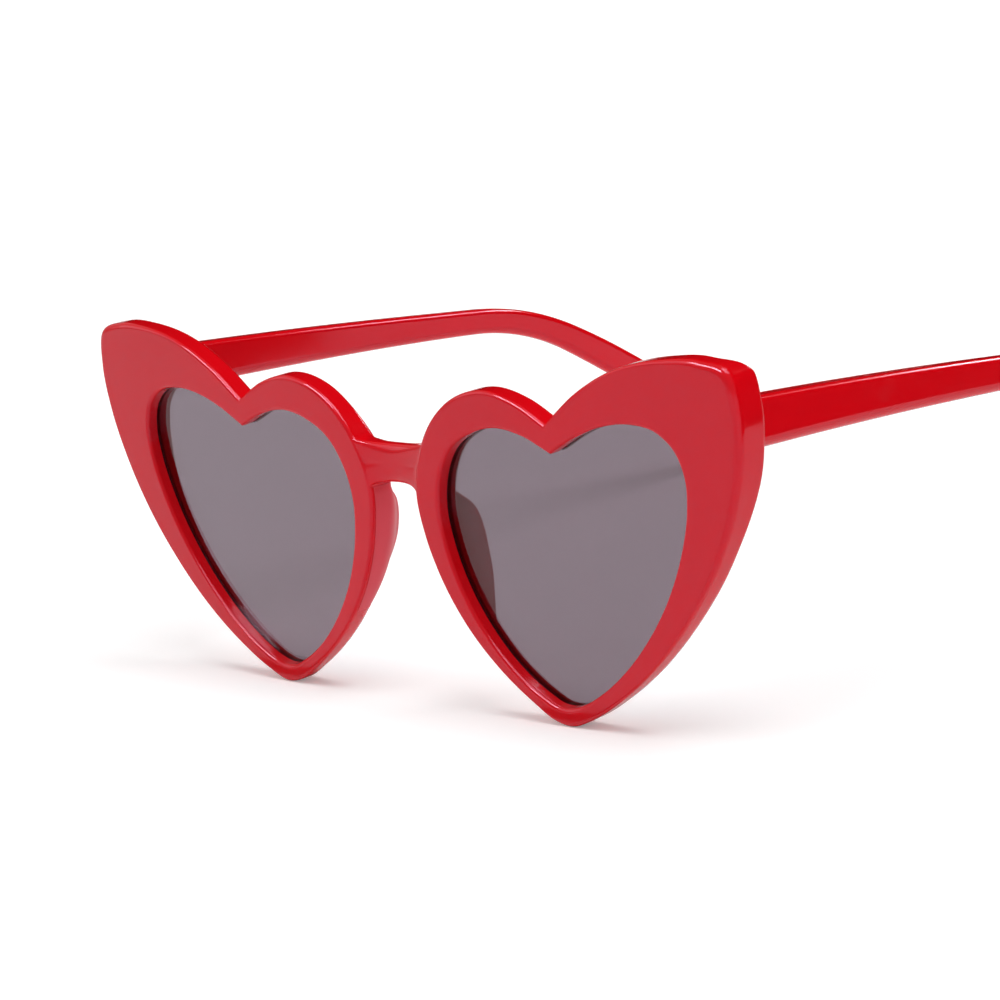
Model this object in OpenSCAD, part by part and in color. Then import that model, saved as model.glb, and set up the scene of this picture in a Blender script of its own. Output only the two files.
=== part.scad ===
// Heart-shaped cat-eye sunglasses with their temples open.
// They rest on the two heart points and on the two ear tips. Lengths are in millimetres.
// X runs to the wearer's left, Y from the front back to the ears, Z up, and Z = 0 is the table.

/* [Front] */
// Width of the front over both hearts
front_w = 146.8; // [144:0.1:150]
// Height of each heart from its point to the top of its outer lobe
heart_h = 58.1; // [57:0.1:60]
// Distance between the two hearts where they come closest
heart_gap = 10.4; // [9.8:0.1:11.6]
// Radius of the slight wrap of the front, seen from above
wrap_r = 1100; // [800:50:2000]
// Depth of the rims from front to back, at their lobes
rim_depth = 4.9; // [4.6:0.1:5.2]
// Depth of the rims at their points
low_rim_depth = 4.4; // [4.2:0.1:4.6]
// Depth of the outer wings, which carry the hinges
wing_depth = 5.9; // [5.6:0.1:6.4]
// Distance from the front's middle at which the extra wing depth starts
wing_start = 53; // [50:0.5:55]
// Length over which the wing depth grows to its full value
wing_run = 6.5; // [4:0.5:7]
// Distance by which the extra wing depth starts further out at the wings' tops
wing_top_shift = 15; // [10:0.5:16]
// Depth by which the rims thin from their openings out to their tops
top_thin = 1; // [0.2:0.1:1.2]
// Radius that rolls over the rims' outer front edge
edge_roll = 0.7; // [0.5:0.1:1.2]
// Radius that rolls over the wings' outer front edge
wing_roll = 0.9; // [0.7:0.1:1.6]
// Radius that rolls over the rims' outer back edge, at their lobes
back_roll = 0.7; // [0.4:0.1:1.2]
// Radius that rolls over the rims' outer back edge, at their points
low_back_roll = 2; // [1.2:0.1:2.1]
// Radius that rolls over the front edge of an opening
opening_roll = 0.7; // [0.3:0.1:0.8]

/* [Openings and lenses] */
// Width of the rim between the nose gap and an opening
nose_rim_w = 4.9; // [4.4:0.1:5.2]
// Width of the wing outside an opening
wing_w = 11.4; // [10.8:0.1:12.6]
// Height of the rim under an opening
bottom_rim_h = 2.9; // [2.6:0.1:3.2]
// Height of the rim over an opening
top_rim_h = 10.2; // [9.6:0.1:11.6]
// Depth of the lens groove into the rim
groove_in = 0.8; // [0.5:0.1:1]
// Thickness of a lens
lens_t = 1.5; // [1.2:0.1:1.7]
// Depth of a lens's front face behind the face of the rim
lens_set = 2.1; // [1.6:0.1:2.3]
// Clearance of a lens in its groove, at its faces and at its edge
lens_clear = 0.06; // [0.03:0.01:0.1]

/* [Bridge and nose pads] */
// Height of the bridge bar at its middle
bridge_h = 6.2; // [5:0.1:6.4]
// Place of the bridge bar's middle, as a share of the hearts' height
bridge_place_share = 0.666; // [0.65:0.002:0.68]
// Depth of the bridge bar from front to back
bridge_depth = 3.2; // [3:0.1:3.8]
// Depth of the bridge bar's front face behind the face of the rims
bridge_set = 0.7; // [0.6:0.1:1]
// Added height where the bridge bar flares into each rim
bridge_flare = 2.1; // [1.6:0.1:2.6]
// Length of the bridge bar that is buried in each rim
bridge_bury = 3.4; // [3:0.1:3.6]
// Distance of the top of a nose pad below the bridge bar's middle
pad_drop = 4.1; // [3.4:0.1:5.4]
// Height of a nose pad from top to bottom
pad_h = 21; // [18:0.5:22]
// Reach of a nose pad behind the rim at its fullest
pad_reach = 4.6; // [3.6:0.1:5.2]
// Sideways lean of a nose pad's back edge, away from the nose
pad_lean = 1.3; // [0.6:0.1:1.6]
// Thickness of a nose pad at its back edge
pad_edge_t = 1.5; // [1.2:0.1:1.8]
// Distance of a nose pad's foot from the edges of the rim's back face
pad_inset = 0.45; // [0.4:0.05:0.6]
// Glue gap under a nose pad
bond_gap = 0.04; // [0.02:0.01:0.08]

/* [Temples] */
// Height of a temple at the hinge
temple_h = 7.8; // [7.4:0.1:8.6]
// Thickness of a temple at the hinge
temple_t = 3.8; // [3.6:0.1:4.2]
// Thickness of a temple at the ear
ear_t = 3; // [2.6:0.1:3.2]
// Distance of a temple's outer face inside the side of the front
temple_inset = 0.7; // [0.5:0.1:1]
// Clearance between a temple's end and the back of the front
butt_gap = 0.12; // [0.08:0.01:0.2]
// Length of the straight-looking part of a temple, from the hinge to the ear bend
shank_l = 78; // [74:0.5:84]
// Downward slope of a temple at the hinge
shank_slope = 4.2; // [4:0.1:5.4]
// Downward slope of a temple where the ear bend starts
bend_slope = 7.2; // [6.6:0.1:8.4]
// Radius of the ear bend
bend_r = 58; // [48:1:70]
// Downward slope of a temple where the ear bend ends
ear_slope = 31; // [29:0.5:34]
// Radius of the gentle curve behind the ear
ear_r = 220; // [190:5:260]
// Inward set of the ear tip
ear_in = 2; // [0:0.1:2.4]
// Radius that rolls over a temple's upper edges
temple_roll = 0.9; // [0.5:0.1:1]
// Radius that rolls over a temple's lower edges
temple_low_roll = 1.8; // [1:0.1:2]

/* [Hinges] */
// Distance of the middle of the hinges below the top of the hearts
hinge_drop = 10.2; // [9.6:0.1:11.2]
// Radius of the hinge barrels
barrel_r = 1.25; // [1.1:0.05:1.35]
// Length of the middle knuckle, which the temple leaf carries
temple_knuckle_l = 1.6; // [1.4:0.1:1.8]
// Length of each outer knuckle, which the front leaf carries
front_knuckle_l = 1.3; // [1.2:0.1:1.5]
// End clearance between two knuckles
knuckle_gap = 0.05; // [0.03:0.01:0.08]
// Radius of the screw's shank
screw_r = 0.7; // [0.6:0.02:0.74]
// Radial clearance of the screw in the middle knuckle
screw_clear = 0.05; // [0.03:0.01:0.07]
// Radial clearance of the screw in the outer knuckles
screw_fit = 0.02; // [0.01:0.01:0.03]
// Radius of the screw's head
screw_head_r = 1.1; // [1:0.05:1.2]
// Height of the screw's head
screw_head_h = 0.45; // [0.3:0.05:0.6]
// Width of the screw's slot
screw_slot_w = 0.3; // [0.2:0.05:0.4]
// Clearance between a barrel and the temple's inner face
barrel_clear = 0.15; // [0.1:0.01:0.2]
// Clearance between a barrel and the back of the front
barrel_rise = 0.25; // [0.15:0.05:0.4]
// Thickness of a hinge leaf
leaf_t = 0.8; // [0.6:0.05:0.9]
// Width of the front leaf's plate
front_leaf_w = 6; // [5:0.1:6.6]
// Length of the temple leaf's plate
temple_leaf_l = 10; // [8:0.5:12]
// Height of the temple leaf's plate
temple_leaf_h = 3.2; // [2.6:0.1:3.6]
// Depth of the anchor under each leaf
anchor_depth = 1.1; // [0.8:0.1:1.2]
// Width of the anchor under each leaf
anchor_w = 1.6; // [1.2:0.1:2]
// Clearance of a leaf in its pocket
leaf_clear = 0.03; // [0.02:0.01:0.05]

/* [Hidden] */

// Steps of each curve between two of its points
curve_steps = 4;
// Facets of the hinge barrels and screws, and of the wide lens cylinders
barrel_facets = 48;
lens_facets = 720;
// Overrun of every cut
cut = 1;

// Outline of a heart, round from its cleft over the outer lobe, down to the point and up the nose side.
// The first share runs from the nose side outward, the second from the point up.
heart_shares = [
    [0.442, 0.812], [0.543, 0.898], [0.665, 0.965], [0.800, 0.996], [0.905, 0.998], [0.980, 0.973],
    [1.000, 0.878], [0.990, 0.749], [0.950, 0.602], [0.884, 0.454], [0.792, 0.313], [0.683, 0.186],
    [0.567, 0.086], [0.478, 0.028], [0.405, 0.000], [0.356, 0.012], [0.303, 0.048], [0.208, 0.129],
    [0.111, 0.246], [0.045, 0.374], [0.010, 0.495], [0.000, 0.590], [0.024, 0.699], [0.077, 0.794],
    [0.160, 0.864], [0.261, 0.890], [0.356, 0.865], [0.442, 0.812]];
// Outline of an opening, point for point beside the heart's, as shares of the opening's own size
opening_shares = [
    [0.495, 0.883], [0.595, 0.943], [0.702, 0.985], [0.813, 1.000], [0.909, 0.980], [0.972, 0.921],
    [1.000, 0.832], [0.993, 0.718], [0.955, 0.579], [0.886, 0.423], [0.785, 0.267], [0.672, 0.141],
    [0.568, 0.057], [0.497, 0.016], [0.440, 0.000], [0.396, 0.004], [0.346, 0.029], [0.248, 0.101],
    [0.137, 0.231], [0.057, 0.379], [0.013, 0.527], [0.000, 0.641], [0.020, 0.762], [0.078, 0.868],
    [0.170, 0.930], [0.275, 0.956], [0.384, 0.937], [0.495, 0.883]];
// Heights between which the rims grow to their full depth and edge, and the wings to theirs
lobe_rise_shares = [0.20, 0.69];
wing_rise_shares = [0.48, 0.72];
// Heights between which the rims' tops thin, and between which the extra wing depth moves out
top_thin_shares = [0.66, 0.82];
wing_shift_shares = [0.86, 0.98];
// Height of a temple along its length, as shares of the length and of the height at the hinge
temple_height_shares = [[0.00, 1.00], [0.12, 0.89], [0.22, 0.80], [0.36, 0.68], [0.50, 0.59],
                        [0.62, 0.60], [0.72, 0.68], [0.86, 0.73], [1.00, 0.73]];
// Outline of a nose pad's back edge: share of the pad's height down from its top, share of its reach
pad_reach_shares = [[0.00, 0.00], [0.05, 0.32], [0.12, 0.68], [0.20, 0.90], [0.34, 1.00], [0.50, 0.95],
                    [0.66, 0.78], [0.80, 0.50], [0.92, 0.20], [1.00, 0.00]];
// Smallest reach of a nose pad at its two ends
pad_end_reach = 0.35;
// Angles over which a nose pad's back edge is rounded
pad_round_from = -20;
pad_round_to = 156;
pad_round_step = 22;
// Powers that square the bridge's section and gather its flare near the rims
bridge_corner_power = 0.6;
bridge_flare_power = 3;
// Thickness left at the end of a temple's rounded tip
tip_thin_share = 0.35;
// Greatest share of a temple's thickness that the roll of one lower edge takes
temple_low_share = 0.48;
// Place in the outline lists from which the nose side climbs
nose_side_point = 15;
// Stations along a nose pad, along the bridge and along a temple
pad_stations = 18;
bridge_stations = 16;
temple_stations = 44;
temple_tip_stations = 7;
// Sides of the bridge's rounded section
bridge_sides = 20;

heart_w = (front_w - heart_gap) / 2;
nose_u = heart_gap / 2;
opening_u = nose_u + nose_rim_w;
opening_w = heart_w - nose_rim_w - wing_w;
opening_h = heart_h - bottom_rim_h - top_rim_h;
bridge_z = heart_h * bridge_place_share;
pad_top = bridge_z - pad_drop;
hinge_z = heart_h - hinge_drop;
butt_x = front_w / 2 - temple_inset;
temple_in_x = butt_x - temple_t;
hinge_x = temple_in_x - barrel_clear - barrel_r;
hinge_y = wing_back_y(hinge_x) + barrel_rise + barrel_r;
barrel_l = temple_knuckle_l + 2 * front_knuckle_l + 2 * knuckle_gap;

// Smooth curve through points, with its speed set by the distances between them
function chord(p, k) = norm(p[k + 1] - p[k]);
function slope_at(p, k) = let (last = len(p) - 1)
    k == 0 ? (p[1] - p[0]) / chord(p, 0)
    : k == last ? (p[last] - p[last - 1]) / chord(p, last - 1)
    : let (a = chord(p, k - 1), b = chord(p, k))
      ((p[k] - p[k - 1]) * b / a + (p[k + 1] - p[k]) * a / b) / (a + b);
function between(p, k, t) = let (d = chord(p, k), a = t * t * (3 - 2 * t))
    p[k] * (1 - a) + p[k + 1] * a
    + slope_at(p, k) * d * t * (1 - t) * (1 - t) - slope_at(p, k + 1) * d * t * t * (1 - t);
// The curve from its first point up to, and without, its last
function curve(p, steps) = [for (k = [0:len(p) - 2], i = [0:steps - 1]) between(p, k, i / steps)];
// Smooth value of a table of [place, value] at a place
function table_at(p, x) = let (k = table_row(p, x, 0)) let (t = (x - p[k][0]) / (p[k + 1][0] - p[k][0]))
    let (s0 = table_slope(p, k), s1 = table_slope(p, k + 1), d = p[k + 1][0] - p[k][0], a = t * t * (3 - 2 * t))
    p[k][1] * (1 - a) + p[k + 1][1] * a + s0 * d * t * (1 - t) * (1 - t) - s1 * d * t * t * (1 - t);
function table_row(p, x, k) = k >= len(p) - 2 || x < p[k + 1][0] ? k : table_row(p, x, k + 1);
function table_slope(p, k) = let (a = max(k - 1, 0), b = min(k + 1, len(p) - 1))
    (p[b][1] - p[a][1]) / (p[b][0] - p[a][0]);
// Eases from 0 to 1 as t goes from 0 to 1
function ease(t) = let (c = min(max(t, 0), 1)) c * c * (3 - 2 * c);

// Depth of the front's face behind its foremost point, from the wrap, at a distance u from the middle
function face_y(u) = wrap_r - sqrt(wrap_r * wrap_r - u * u);
// Depth of the rim at a place, from its face to its back, and the roll of its back edge there.
// The share t runs from 0 at the opening to 1 at the outline.
function rise(shares, v) = ease((v / heart_h - shares[0]) / (shares[1] - shares[0]));
function lobe_share(v) = rise(lobe_rise_shares, v);
function wing_share(u, v) = rise(wing_rise_shares, v)
    * ease((u - wing_start - wing_top_shift * rise(wing_shift_shares, v)) / wing_run);
function depth_at(u, v, t) =
    let (rim = low_rim_depth + (rim_depth - low_rim_depth) * lobe_share(v) - top_thin * rise(top_thin_shares, v) * t)
    rim + (wing_depth - rim) * wing_share(u, v);
function back_roll_at(v) = low_back_roll + (back_roll - low_back_roll) * lobe_share(v);
// Place of the wing's full back
function wing_back_y(u) = face_y(u) + wing_depth;

heart_outline = curve([for (s = heart_shares) [nose_u + s[0] * heart_w, s[1] * heart_h]], curve_steps);
opening_outline = curve([for (s = opening_shares)
    [opening_u + s[0] * opening_w, bottom_rim_h + s[1] * opening_h]], curve_steps);

// Section of the rim from the opening outward: [distance into the rim, depth, 1 if it counts from the back]
function rim_section(w, u, v) =
    let (r = edge_roll + (wing_roll - edge_roll) * ease((u - wing_start) / (front_w / 2 - wing_start)),
         b = back_roll_at(v))
    [[0, opening_roll, 0], [opening_roll * (1 - cos(45)), opening_roll * (1 - sin(45)), 0], [opening_roll, 0, 0],
     [w - r, 0, 0], [w - r * (1 - sin(30)), r * (1 - cos(30)), 0],
     [w - r * (1 - sin(60)), r * (1 - cos(60)), 0], [w, r, 0],
     [w, -b, 1], [w - b * (1 - cos(30)), -b * (1 - sin(30)), 1],
     [w - b * (1 - cos(60)), -b * (1 - sin(60)), 1], [w - b, 0, 1],
     [opening_roll / 2, 0, 1], [0, -opening_roll / 2, 1],
     [0, lens_set + lens_t + lens_clear, 0], [groove_in, lens_set + lens_t + lens_clear, 0],
     [groove_in, lens_set - lens_clear, 0], [0, lens_set - lens_clear, 0]];

// Faces of a ring or a bar made of loops of points, one loop after another
function loop_faces(loops, sides, closed) = [for (i = [0:loops - (closed ? 1 : 2)], j = [0:sides - 1])
    let (a = i * sides + j, b = i * sides + (j + 1) % sides,
         c = ((i + 1) % loops) * sides + j, d = ((i + 1) % loops) * sides + (j + 1) % sides)
    each [[a, d, c], [a, b, d]]];
function cap_faces(loops, sides) = let (last = (loops - 1) * sides)
    [[for (j = [0:sides - 1]) sides - 1 - j], [for (j = [0:sides - 1]) last + j]];

module loft(loops) {
    sides = len(loops[0]);
    polyhedron(points = [for (l = loops) each l],
               faces = concat(loop_faces(len(loops), sides, false), cap_faces(len(loops), sides)));
}

// One heart rim on the wearer's left: a closed ring of sections, with the lens groove in its inner wall
module rim() {
    stations = len(heart_outline);
    rings = [for (i = [0:stations - 1])
        let (p = opening_outline[i], o = heart_outline[i], w = norm(o - p), dir = (o - p) / w)
        [for (s = rim_section(w, o[0], o[1]))
            let (q = p + dir * s[0])
            [q[0], face_y(q[0]) + s[1] + s[2] * depth_at(q[0], q[1], s[0] / w), q[1]]]];
    sides = len(rings[0]);
    polyhedron(points = [for (r = rings) each r], faces = loop_faces(stations, sides, true));
}

// The bar between the hearts, flared where it runs into the rims
module bridge() {
    reach = nose_u + bridge_bury;
    loft([for (i = [0:bridge_stations])
        let (t = 2 * i / bridge_stations - 1, flare = bridge_flare * pow(abs(t), bridge_flare_power), h = bridge_h + flare)
        [for (j = [0:bridge_sides - 1])
            let (a = 360 * j / bridge_sides, c = cos(a), s = sin(a))
            [t * reach,
             face_y(t * reach) + bridge_set + bridge_depth / 2
                 - bridge_depth / 2 * sign(c) * pow(abs(c), bridge_corner_power),
             bridge_z + h / 2 * sign(s) * pow(abs(s), bridge_corner_power)]]]);
}

module on_side(side) {
    if (side > 0) children();
    else mirror([1, 0, 0]) children();
}

// Puts a piece on its side, with the middle of the whole object over the origin
module placed(side) translate([0, -overall_depth / 2, 0]) on_side(side) children();

module front_frame() color("crimson") placed(1)
    difference() {
        union() {
            rim();
            mirror([1, 0, 0]) rim();
            bridge();
        }
        for (side = [1, -1]) on_side(side) front_leaf_plate(leaf_clear);
    }

// A lens is the opening's outline, let into the groove, cut from a slice of the wrap cylinder
module lens(side) color("dimgray") placed(side)
    intersection() {
        rotate([90, 0, 0]) mirror([0, 0, 1])
            linear_extrude(height = face_y(front_w / 2) + rim_depth)
                polygon([for (i = [0:len(opening_outline) - 1])
                    let (p = opening_outline[i], o = heart_outline[i])
                    p + (o - p) / norm(o - p) * (groove_in - lens_clear)]);
        difference() {
            translate([0, wrap_r + lens_set, 0]) cylinder(h = heart_h, r = wrap_r, $fn = lens_facets);
            translate([0, wrap_r + lens_set + lens_t, -cut])
                cylinder(h = heart_h + 2 * cut, r = wrap_r, $fn = lens_facets);
        }
    }

// Places on the rim's nose side at a height: the first outline point below it, going down
function crossing(outline, z, k) = outline[k][1] < z && outline[k + 1][1] >= z
    ? outline[k][0] + (outline[k + 1][0] - outline[k][0]) * (z - outline[k][1]) / (outline[k + 1][1] - outline[k][1])
    : crossing(outline, z, k + 1);
nose_side_start = nose_side_point * curve_steps;

module nose_pad(side) color("crimson") placed(side)
    loft([for (i = [0:pad_stations])
        let (share = (1 - cos(180 * i / pad_stations)) / 2, z = pad_top - pad_h * share,
             reach = max(pad_reach * table_at(pad_reach_shares, share), pad_end_reach),
             a = crossing(heart_outline, z, nose_side_start) + back_roll_at(z) + pad_inset,
             b = crossing(opening_outline, z, nose_side_start) - opening_roll / 2 - pad_inset,
             foot_y = depth_at(a, z, 0) + bond_gap, tip_x = b + pad_lean * reach / pad_reach,
             r = min(pad_edge_t / 2, reach / 2, (b - a) / 2))
        [[a, face_y(a) + foot_y, z],
         [b, face_y(b) + foot_y, z],
         for (t = [pad_round_from:pad_round_step:pad_round_to])
             [tip_x - r + r * cos(t), face_y(b) + foot_y + reach - r + r * sin(t), z]]]);

// A temple's centre line: the long shank, the ear bend and the gentle curve behind the ear
radian = 180 / PI;
shank_r = shank_l / (bend_slope - shank_slope) * radian;
bend_l = bend_r * (ear_slope - bend_slope) / radian;
function arc_at(p, slope, r, s) = let (a = slope + s / r * radian)
    [p[0] + r * (sin(a) - sin(slope)), p[1] - r * (cos(slope) - cos(a)), a];
butt_y = wing_back_y(butt_x) + butt_gap;
shank_start = [butt_y, hinge_z];
shank_end = arc_at(shank_start, shank_slope, shank_r, shank_l);
bend_end = arc_at(shank_end, bend_slope, bend_r, bend_l);
// The ear tip's rounded end comes down to the table
tip_half_h = temple_h * temple_height_shares[len(temple_height_shares) - 1][1] / 2;
tip_slope = acos(cos(ear_slope) - (bend_end[1] - tip_half_h) / ear_r);
tip_l = ear_r * (tip_slope - ear_slope) / radian + tip_half_h;
temple_l = shank_l + bend_l + tip_l;
function centre_at(s) =
    s < shank_l ? arc_at(shank_start, shank_slope, shank_r, s)
    : s < shank_l + bend_l ? arc_at(shank_end, bend_slope, bend_r, s - shank_l)
    : arc_at(bend_end, ear_slope, ear_r, s - shank_l - bend_l);

// Rounded section of a temple: [across from the outer face, up from the centre line]
function quarter(cx, cy, r, from) = [for (a = [0:30:90]) [cx + r * cos(from + a), cy + r * sin(from + a)]];
function temple_section(h, t, shrink) =
    let (r = temple_roll * shrink, low = min(temple_low_roll * shrink, h / 2 - r, temple_low_share * t))
    concat(quarter(-r, h / 2 - r, r, 0), quarter(-t + r, h / 2 - r, r, 90),
           quarter(-t + low, -h / 2 + low, low, 180), quarter(-low, -h / 2 + low, low, 270));

// One section of a temple, in place: the shank and the bend first, then the rounded tip
function temple_ring(i) =
    let (whole = temple_l - tip_half_h,
         turn = 90 * max(i - temple_stations, 0) / (temple_tip_stations + 1),
         s = i <= temple_stations ? whole * i / temple_stations : whole + tip_half_h * sin(turn),
         shrink = cos(turn), centre = centre_at(s),
         h = temple_h * table_at(temple_height_shares, s / temple_l) * shrink,
         full_t = temple_t + (ear_t - temple_t) * ease(s / shank_l),
         t = full_t * (tip_thin_share + (1 - tip_thin_share) * shrink),
         x = butt_x - ear_in * ease((s - shank_l) / (temple_l - shank_l)) - (full_t - t) / 2,
         first = i == 0)
    [for (q = temple_section(h, t, shrink))
        [x + q[0],
         centre[0] + (first ? wing_back_y(x + q[0]) - wing_back_y(x) : q[1] * sin(centre[2])),
         centre[1] + q[1] * cos(centre[2])]];
temple_rings = [for (i = [0:temple_stations + temple_tip_stations]) temple_ring(i)];
// Depth of the whole object, from the face of the front to the ear tips
overall_depth = max([for (ring = temple_rings, p = ring) p[1]]);

module temple(side) color("crimson") placed(side)
    difference() {
        loft(temple_rings);
        temple_leaf_plate(leaf_clear);
    }

// Box from its lowest corner to its highest, grown on every side
module box_between(low, high, grow)
    translate(low - [grow, grow, grow]) cube(high - low + 2 * [grow, grow, grow]);

// The plate that is let into the back of the wing, with its anchor
module front_leaf_plate(grow) {
    wing_y = hinge_y - barrel_r - barrel_rise;
    middle_x = hinge_x + barrel_r - front_leaf_w / 2;
    box_between([hinge_x + barrel_r - front_leaf_w, wing_y - leaf_t, hinge_z - barrel_l / 2],
                [hinge_x + barrel_r, wing_y + barrel_rise / 2, hinge_z + barrel_l / 2], grow);
    box_between([middle_x - anchor_w / 2, wing_y - leaf_t - anchor_depth, hinge_z - anchor_w / 2],
                [middle_x + anchor_w / 2, wing_y - leaf_t / 2, hinge_z + anchor_w / 2], grow);
}

// The plate that is let into the inner face of the temple, with its anchor
module temple_leaf_plate(grow) {
    middle_y = hinge_y + temple_leaf_l / 2;
    box_between([temple_in_x, hinge_y, hinge_z - temple_leaf_h / 2],
                [temple_in_x + leaf_t, hinge_y + temple_leaf_l, hinge_z + temple_leaf_h / 2], grow);
    box_between([temple_in_x + leaf_t / 2, middle_y - anchor_w / 2, hinge_z - anchor_w / 2],
                [temple_in_x + leaf_t + anchor_depth, middle_y + anchor_w / 2, hinge_z + anchor_w / 2], grow);
}

module barrel(z, l) translate([hinge_x, hinge_y, z]) cylinder(h = l, r = barrel_r, $fn = barrel_facets);
module bore(r)
    translate([hinge_x, hinge_y, hinge_z - barrel_l / 2 - cut])
        cylinder(h = barrel_l + 2 * cut, r = r, $fn = barrel_facets);

// Two outer knuckles stand on the front leaf
module front_hinge_leaf(side) color("silver") placed(side)
    difference() {
        union() {
            front_leaf_plate(0);
            for (z = [hinge_z - barrel_l / 2, hinge_z + barrel_l / 2 - front_knuckle_l]) {
                barrel(z, front_knuckle_l);
                box_between([hinge_x - barrel_r, hinge_y - barrel_r - barrel_rise - leaf_t / 2, z],
                            [hinge_x + barrel_r, hinge_y, z + front_knuckle_l], 0);
            }
        }
        bore(screw_r + screw_fit);
    }

// The middle knuckle reaches in from the temple leaf
module temple_hinge_leaf(side) color("silver") placed(side)
    difference() {
        union() {
            temple_leaf_plate(0);
            barrel(hinge_z - temple_knuckle_l / 2, temple_knuckle_l);
            box_between([hinge_x, hinge_y, hinge_z - temple_knuckle_l / 2],
                        [temple_in_x + leaf_t / 2, hinge_y + barrel_r, hinge_z + temple_knuckle_l / 2], 0);
        }
        bore(screw_r + screw_clear);
    }

module hinge_screw(side) color("gainsboro") placed(side)
    translate([hinge_x, hinge_y, hinge_z])
        difference() {
            union() {
                translate([0, 0, -barrel_l / 2])
                    cylinder(h = barrel_l + screw_head_h, r = screw_r, $fn = barrel_facets);
                translate([0, 0, barrel_l / 2 + screw_fit])
                    cylinder(h = screw_head_h, r = screw_head_r, $fn = barrel_facets);
            }
            translate([-screw_head_r, -screw_slot_w / 2, barrel_l / 2 + screw_head_h / 2])
                cube([2 * screw_head_r, screw_slot_w, screw_head_h]);
        }

front_frame();
lens(1);  // left_lens
lens(-1);  // right_lens
nose_pad(1);  // left_nose_pad
nose_pad(-1);  // right_nose_pad
temple(1);  // left_temple
temple(-1);  // right_temple
front_hinge_leaf(1);  // left_front_hinge_leaf
front_hinge_leaf(-1);  // right_front_hinge_leaf
temple_hinge_leaf(1);  // left_temple_hinge_leaf
temple_hinge_leaf(-1);  // right_temple_hinge_leaf
hinge_screw(1);  // left_hinge_screw
hinge_screw(-1);  // right_hinge_screw
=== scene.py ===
"""Heart-shaped cat-eye sunglasses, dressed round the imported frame.

Laid out as an add-on and run as a script. Every length is in metres, in the frame's own axes:
+X to the wearer's left, +Y from the front back to the ears, +Z up, and Z = 0 is the table.
"""

import bmesh
import bpy
import numpy as np
from bpy.props import FloatProperty, FloatVectorProperty, PointerProperty
from mathutils import Matrix, Vector


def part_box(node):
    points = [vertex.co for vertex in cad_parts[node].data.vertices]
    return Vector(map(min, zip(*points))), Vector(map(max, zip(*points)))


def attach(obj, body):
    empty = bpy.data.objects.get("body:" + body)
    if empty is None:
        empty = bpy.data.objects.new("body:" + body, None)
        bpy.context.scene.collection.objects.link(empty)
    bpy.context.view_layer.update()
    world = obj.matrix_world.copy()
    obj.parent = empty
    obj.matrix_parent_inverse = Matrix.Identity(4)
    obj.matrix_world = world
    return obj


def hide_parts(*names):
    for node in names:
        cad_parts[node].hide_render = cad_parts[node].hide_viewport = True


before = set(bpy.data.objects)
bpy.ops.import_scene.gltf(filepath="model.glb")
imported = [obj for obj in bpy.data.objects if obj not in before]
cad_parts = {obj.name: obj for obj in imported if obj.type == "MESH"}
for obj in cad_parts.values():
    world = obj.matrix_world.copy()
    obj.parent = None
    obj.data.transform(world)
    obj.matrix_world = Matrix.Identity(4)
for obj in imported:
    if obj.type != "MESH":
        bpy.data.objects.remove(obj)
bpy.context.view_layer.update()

bl_info = {
    "name": "Heart sunglasses",
    "version": (1, 0, 0),
    "blender": (4, 5, 0),
    "location": "View3D > Sidebar > Sunglasses",
    "description": "Builds heart-shaped cat-eye sunglasses piece by piece",
    "category": "Add Mesh",
}

SIDES = {"left": 1, "right": -1}

# Outline of a heart, round from its cleft over the outer lobe, down to the point and up the nose side.
# The first share runs from the nose side outward, the second from the point up. Both are in thousandths.
HEART_SHARES = np.array([
    [442, 812], [543, 898], [665, 965], [800, 996], [905, 998], [980, 973], [1000, 878], [990, 749],
    [950, 602], [884, 454], [792, 313], [683, 186], [567, 86], [478, 28], [405, 0], [356, 12],
    [303, 48], [208, 129], [111, 246], [45, 374], [10, 495], [0, 590], [24, 699], [77, 794],
    [160, 864], [261, 890], [356, 865], [442, 812]]) / 1000
# Outline of an opening, point for point beside the heart's, as shares of the opening's own size
OPENING_SHARES = np.array([
    [495, 883], [595, 943], [702, 985], [813, 1000], [909, 980], [972, 921], [1000, 832], [993, 718],
    [955, 579], [886, 423], [785, 267], [672, 141], [568, 57], [497, 16], [440, 0], [396, 4],
    [346, 29], [248, 101], [137, 231], [57, 379], [13, 527], [0, 641], [20, 762], [78, 868],
    [170, 930], [275, 956], [384, 937], [495, 883]]) / 1000
# Points of the outlines from which the nose side climbs, and past which the bridge may leave it
NOSE_SIDE_POINT, BRIDGE_POINT = 15, 18
# Pairs of heights, as shares of a heart's, between which the rims deepen and narrow their back edges, the
# wings deepen, the rims' tops thin, and the place where the wings deepen moves out
LOBE_RISE, WING_RISE = (0.20, 0.69), (0.48, 0.72)
TOP_THIN, WING_SHIFT = (0.66, 0.82), (0.86, 0.98)
# Shares of the rim's depth at which its outer wall has a row
WALL_SHARES = (0.04, 0.35, 0.65, 0.96)
# Power and steps per side of the bridge's rounded section
RING_POWER, RING_STEPS = 0.6, 360
# Height of a lens's middle point as a share of the heart's, rings of a lens, and how they crowd outward
LENS_MIDDLE, LENS_RINGS, LENS_CROWD = 0.55, 10, 1.3
# Height of a temple along its length, as shares of the length and of the height at the hinge
TEMPLE_HEIGHTS = [[0.00, 1.00], [0.12, 0.89], [0.22, 0.80], [0.36, 0.68], [0.50, 0.59],
                  [0.62, 0.60], [0.72, 0.68], [0.86, 0.73], [1.00, 0.73]]
# Turn of a temple's rounded tip, in degrees: the last section's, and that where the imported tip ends
TIP_TURN, PACKED_TIP_TURN = 86, 78.75
# Length over which a temple's sections turn from the wrap of the front to its own slope
BUTT_RUN = 0.004
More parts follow.
